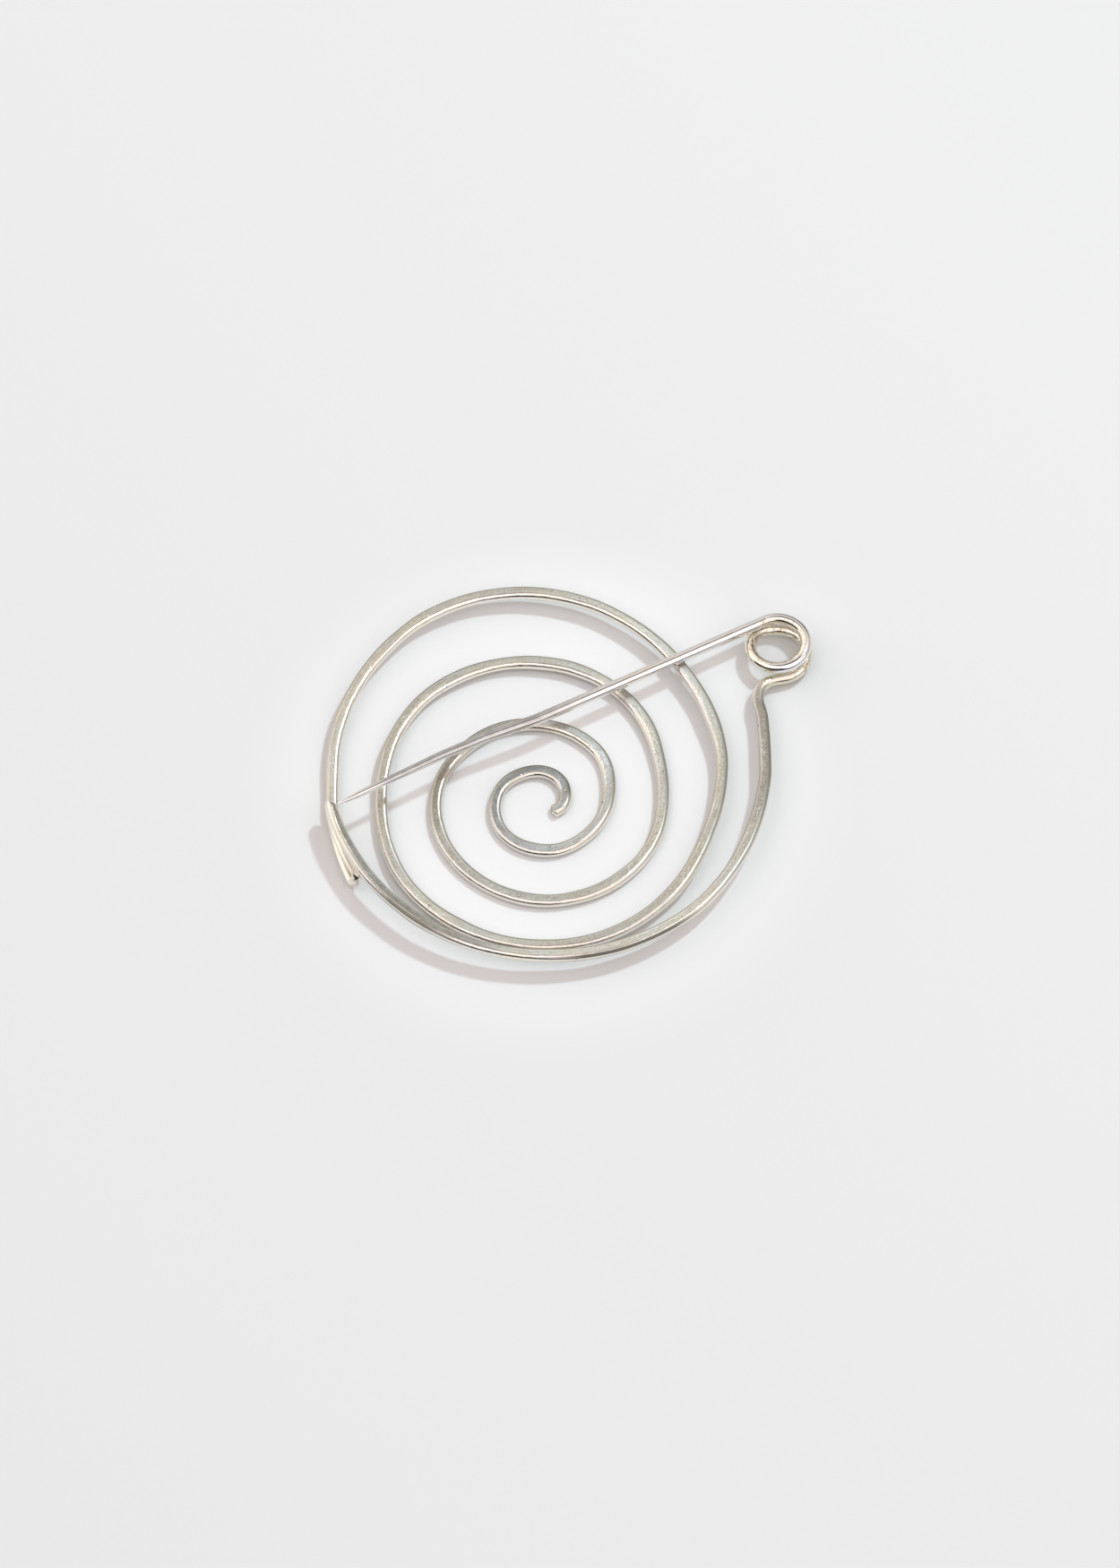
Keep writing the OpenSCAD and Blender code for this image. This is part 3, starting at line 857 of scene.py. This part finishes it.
def makeHammeredSilver():
    look = hammeredSilver
    darkening, rough, depth = look["darkening"], look["rough"], look["depth"]
    material = bpy.data.materials.new("hammered silver")
    paint, mm, lines = silverPaint(material, look)
    flat, edge = paint.mark("hammeredFace"), paint.mark("edgeTarnishAndShade")
    golden, dullAndShade = paint.mark("goldenTarnishAndReflection"), paint.mark("dullAndPaintedShade")
    tone, waves, mottle, dents, grain = [
        paint.noise(mm, *look[name]) for name in ("tone", "waves", "mottle", "dents", "grain")]
    speck = paint.cells(mm, look["specks"])
    speckPick = paint.noise(mm, *look["speckPatches"])
    bright = (1 - paint.step(speck, *look["speckSize"])) * paint.step(speckPick, *look["speckPick"])
    pit = paint.cells(mm, look["pits"])
    pitPick = paint.noise(paint.stretch(mm, look["pitStretch"]), *look["pitPatches"])
    dark = (1 - paint.step(pit, *look["pitSize"])) * paint.step(pitPick, *look["pitPick"])
    warm = paint.step(tone + look["mottleInTone"] * (mottle - 0.5), *look["warmPick"])
    flatColour = paint.blend(warm, look["flatCool"], look["flatWarm"])
    sideColour = paint.blend(warm, look["sideCool"], look["sideWarm"])
    colour = paint.blend(flat, sideColour, flatColour)
    # painted golden tone: partly tarnished metal, partly painted warm reflection
    colour = paint.blend(golden, colour, look["golden"])
    # tarnished metal, with painted shade and painted dark reflection from the edge and dullness marks
    tarnishAndShade = (darkening["edge"] * edge + darkening["dullAndShade"] * dullAndShade
            + darkening["mottle"] * flat * paint.step(mottle, *look["mottlePick"])
            + darkening["dents"] * flat * paint.step(dents, *look["dentPick"]))
    colour = paint.blend(dark * darkening["pits"] + tarnishAndShade, colour, look["darkTone"])
    # painted glints: the bright specks take the light side colour
    colour = paint.blend(bright * look["speckPaintedGlint"], colour, look["sideCool"])
    # the smallest turn's faces are a plain grey
    nearCentre = paint.step(paint.length(mm), *look["centreReach"])
    plainGrey = paint.add("ShaderNodeRGBToBW", {}, {"Color": colour})
    colour = paint.blend(look["centreGrey"] * flat * nearCentre, colour, plainGrey)
    roughness = (look["sideRoughness"] + flat * (look["flatRoughness"] - look["sideRoughness"])
                 + rough["edge"] * edge + rough["mottle"] * (mottle - 0.5)
                 + rough["dents"] * flat * (dents - 0.5) + rough["specks"] * bright + rough["pits"] * dark)
    height = (depth["waves"] * waves + depth["dents"] * (0.25 + 0.75 * flat) * dents
              + depth["grain"] * (0.3 + flat) * grain + depth["lines"] * (1.0 - 0.6 * flat) * lines
              - depth["specks"] * bright * (look["speckSize"][1] - speck) - depth["pits"] * dark)
    paint.metal(colour, roughness, height)
    return material


def makePolishedSilver():
    look = polishedSilver
    rough, depth = look["rough"], look["depth"]
    material = bpy.data.materials.new("polished silver")
    paint, mm, lines = silverPaint(material, look)
    golden, grey = paint.mark("goldenTarnishAndReflection"), paint.mark("dullAndPaintedShade")
    tone, waves, mottle, grain = [
        paint.noise(mm, *look[name]) for name in ("tone", "waves", "mottle", "grain")]
    speck = paint.cells(mm, look["specks"])
    bright = (1 - paint.step(speck, *look["speckSize"])) * paint.step(waves, *look["speckPick"])
    warm = paint.step(tone + look["mottleInTone"] * (mottle - 0.5), *look["warmPick"])
    colour = paint.blend(warm, look["cool"], look["warm"])
    # painted golden tone on the coil, with brown mottle: partly tarnished metal, partly painted warm
    # reflection
    brownish = paint.blend(paint.step(mottle, *look["brownPick"]), look["golden"], look["brown"])
    colour = paint.blend(golden, colour, brownish)
    colour = paint.blend(look["darkening"] * paint.step(mottle, *look["wearPick"]), colour, look["darkTone"])
    # painted dark reflection: the pin's grey, carried by the dullness mark
    colour = paint.blend(grey * (0.35 + 0.6 * waves), colour, look["grey"])
    roughness = (look["roughness"] + rough["mottle"] * (mottle - 0.5) + rough["lines"] * (lines - 0.5)
                 + rough["grain"] * grain + rough["grey"] * grey)
    height = (depth["waves"] * waves + depth["mottle"] * mottle
              + depth["grain"] * grain + depth["lines"] * lines
              - depth["specks"] * bright * (look["speckSize"][1] - speck))
    paint.metal(colour, roughness, height)
    return material


hammeredMaterial = makeHammeredSilver()
polishedMaterial = makePolishedSilver()
print("finishes mixed")

# Pieces

grids = {
    # piece: first mark, last mark, step along, lines round
    "spiral": ["tip", "catch", 0.25, 54],
    "catch": ["catch", "rim", 0.11, 54],
    "rim_and_neck": ["rim", "coil", 0.16, 54],
    "coil": ["coil", "pin", 0.12, 40],
    "pin": ["pin", "end", 0.2, 40],
}


def makeWire(name, material, tipLength=0):
    first, last, step, sides = grids[name]
    end = min(marks[last], routeLength[-1])
    return tubePiece(name, *wireSkin(marks[first], end, step, sides, tipLength), material)


spiral = makeWire("spiral", hammeredMaterial, tipLength=innerEnd["length"])
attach(spiral, "frame")
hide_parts("spiral_turn_1", "spiral_turn_2", "spiral_turn_3", "spiral_turn_4")

catch = makeWire("catch", hammeredMaterial)
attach(catch, "frame")
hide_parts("catch")

rimAndNeck = makeWire("rim_and_neck", hammeredMaterial)
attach(rimAndNeck, "frame")
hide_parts("rim")

# The coil, from its foot on the rim to its top on the pin, is baked in place and rides no body
coil = makeWire("coil", polishedMaterial)
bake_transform(coil)
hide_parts("coil_lower", "coil_upper")

pin = makeWire("pin", polishedMaterial)
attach(pin, "spring_pin")
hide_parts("pin")

# Table, light and camera

# painted shade: the table's colour is darker away from the brooch than under it, to even out its lit tone
table = {
    "size": 4.0,  # metres
    "inside": rgb(0.78, 0.781, 0.777),  # under the brooch
    "outside": rgb(0.712, 0.714, 0.71),
    "fade": [0.026, 0.042],  # metres from the middle
    "roughness": 0.9,
    "shine": 0.1,
}


def makeTable():
    half = table["size"] / 2
    corners = [(-half, -half, 0), (half, -half, 0), (half, half, 0), (-half, half, 0)]
    mesh = bpy.data.meshes.new("table")
    mesh.from_pydata(corners, [], [(0, 1, 2, 3)])
    material = bpy.data.materials.new("white table")
    material.use_nodes = True
    paint = Paint(material.node_tree)
    where = paint.add("ShaderNodeTexCoord", out="Object")
    colour = paint.blend(paint.step(paint.length(where), *table["fade"]), table["inside"], table["outside"])
    shader = paint.add("ShaderNodeBsdfPrincipled", {}, {
        "Base Color": colour, "Roughness": table["roughness"], "Specular IOR Level": table["shine"]})
    paint.add("ShaderNodeOutputMaterial", {}, {"Surface": shader})
    mesh.materials.append(material)
    top = bpy.data.objects.new("table", mesh)
    bpy.context.scene.collection.objects.link(top)


# a pair of numbers is the height or the compass share, from -1 to 1, at which a tone starts and is full
studio = {
    "north": rgb(0.88, 0.795, 0.755),
    "east": rgb(0.79, 0.69, 0.66),
    "eastFrom": [0.25, 0.6],
    "lowNorth": rgb(0.50, 0.48, 0.48),
    "lowNorthBelow": [0.62, 0.28],
    "lowEast": rgb(0.22, 0.21, 0.215),
    "lowEastPatch": [(0.36, 0.85, 0.30), 10, 26],  # its direction, degrees to its full tone and to its end
    "ceiling": rgb(0.17, 0.165, 0.16),
    "ceilingPatch": [(0, 0.208, 0.978), 9, 23],
    "west": rgb(1.25, 1.14, 1.06),
    "westFrom": [-0.14, -0.36],
    "window": rgb(1.36, 1.27, 1.28),
    "windowFrom": [0.08, -0.06],
    "windowWest": 0.4,  # how much further north it reaches in the west
    "windowAbove": [0.30, 0.46],
    "band": rgb(0.05, 0.045, 0.04),
    "bandFrom": [-0.05, -0.25],
    "bandBelow": [0.80, 0.66],
    "bandSinks": [0.9, 0.25],  # how much lower it ends in the east and in the west
}


# The studio all round: pale walls, warmer in the west, dark low in the north-east, a dim patch of ceiling
# just north of overhead, a broad bright window over the whole south, and a dark band under it
def makeSurroundings():
    world = bpy.data.worlds.new("studio")
    bpy.context.scene.world = world
    world.use_nodes = True
    paint = Paint(world.node_tree)
    looking = paint.add("ShaderNodeTexCoord", out="Generated")

    def towards(direction):
        values = {0: looking, 1: tuple(np.array(direction, float) / np.linalg.norm(direction))}
        return paint.add("ShaderNodeVectorMath", {"operation": "DOT_PRODUCT"}, values, out="Value")

    def patch(direction, full, faded):
        return paint.step(towards(direction), math.cos(math.radians(faded)), math.cos(math.radians(full)))

    rise, north, east = towards((0, 0, 1)), towards((0, 1, 0)), towards((1, 0, 0))
    onEast, onWest = paint.maths("MAXIMUM", east, 0.0), paint.maths("MINIMUM", east, 0.0)
    colour = paint.blend(paint.step(east, *studio["eastFrom"]), studio["north"], studio["east"])
    colour = paint.blend(paint.step(rise, *studio["lowNorthBelow"]), colour, studio["lowNorth"])
    colour = paint.blend(patch(*studio["lowEastPatch"]), colour, studio["lowEast"])
    colour = paint.blend(patch(*studio["ceilingPatch"]), colour, studio["ceiling"])
    colour = paint.blend(paint.step(east, *studio["westFrom"]), colour, studio["west"])
    southern = paint.step(north + studio["windowWest"] * onWest, *studio["windowFrom"])
    colour = paint.blend(southern * paint.step(rise, *studio["windowAbove"]), colour, studio["window"])
    sinksEast, sinksWest = studio["bandSinks"]
    lifted = rise + sinksEast * onEast - sinksWest * onWest
    band = paint.step(north, *studio["bandFrom"]) * paint.step(lifted, *studio["bandBelow"])
    colour = paint.blend(band, colour, studio["band"])
    sky = paint.add("ShaderNodeBackground", {}, {"Color": colour, "Strength": 1.0})
    paint.add("ShaderNodeOutputWorld", {}, {"Surface": sky})


softboxLight = {
    "from": (0.495, 0.462, 1.0),
    "distance": 1.5,  # metres
    "size": 0.13,  # metres
    "power": 9.7,  # watts
    "colour": (0.71, 0.885, 0.95),
}


def makeSoftbox():
    lamp = bpy.data.lights.new("softbox", "AREA")
    lamp.shape, lamp.size = "SQUARE", softboxLight["size"]
    lamp.energy, lamp.color = softboxLight["power"], softboxLight["colour"]
    softbox = bpy.data.objects.new("softbox", lamp)
    bpy.context.scene.collection.objects.link(softbox)
    direction = np.array(softboxLight["from"]) / np.linalg.norm(softboxLight["from"])
    softbox.location = direction * softboxLight["distance"]
    softbox.rotation_euler = softbox.location.to_track_quat("Z", "Y").to_euler()


cameraPlace = {
    "elevation": 60,
    "distance": 2.5,  # metres
    "aimEast": 1.535,  # millimetres from the spiral's centre
    "aimUp": 1.771,  # up the picture
    "frameHeight": 206.6,  # millimetres at the brooch over the picture's long side
    "sensor": 36,
}


def makeCamera():
    lift, up = math.radians(cameraPlace["elevation"]), cameraPlace["aimUp"]
    data = bpy.data.cameras.new("camera")
    data.sensor_width = cameraPlace["sensor"]
    data.lens = data.sensor_width * cameraPlace["distance"] * 1000 / cameraPlace["frameHeight"]
    camera = bpy.data.objects.new("camera", data)
    bpy.context.scene.collection.objects.link(camera)
    aim = np.array([cameraPlace["aimEast"], up * math.sin(lift), up * math.cos(lift)])
    back = np.array([0, -math.cos(lift), math.sin(lift)])
    camera.location = aim * millimetre + back * cameraPlace["distance"]
    camera.rotation_euler = (math.pi / 2 - lift, 0, 0)
    bpy.context.scene.camera = camera


makeTable()
makeSurroundings()
makeSoftbox()
makeCamera()
bpy.context.scene.view_settings.view_transform = "Standard"
print("studio set")
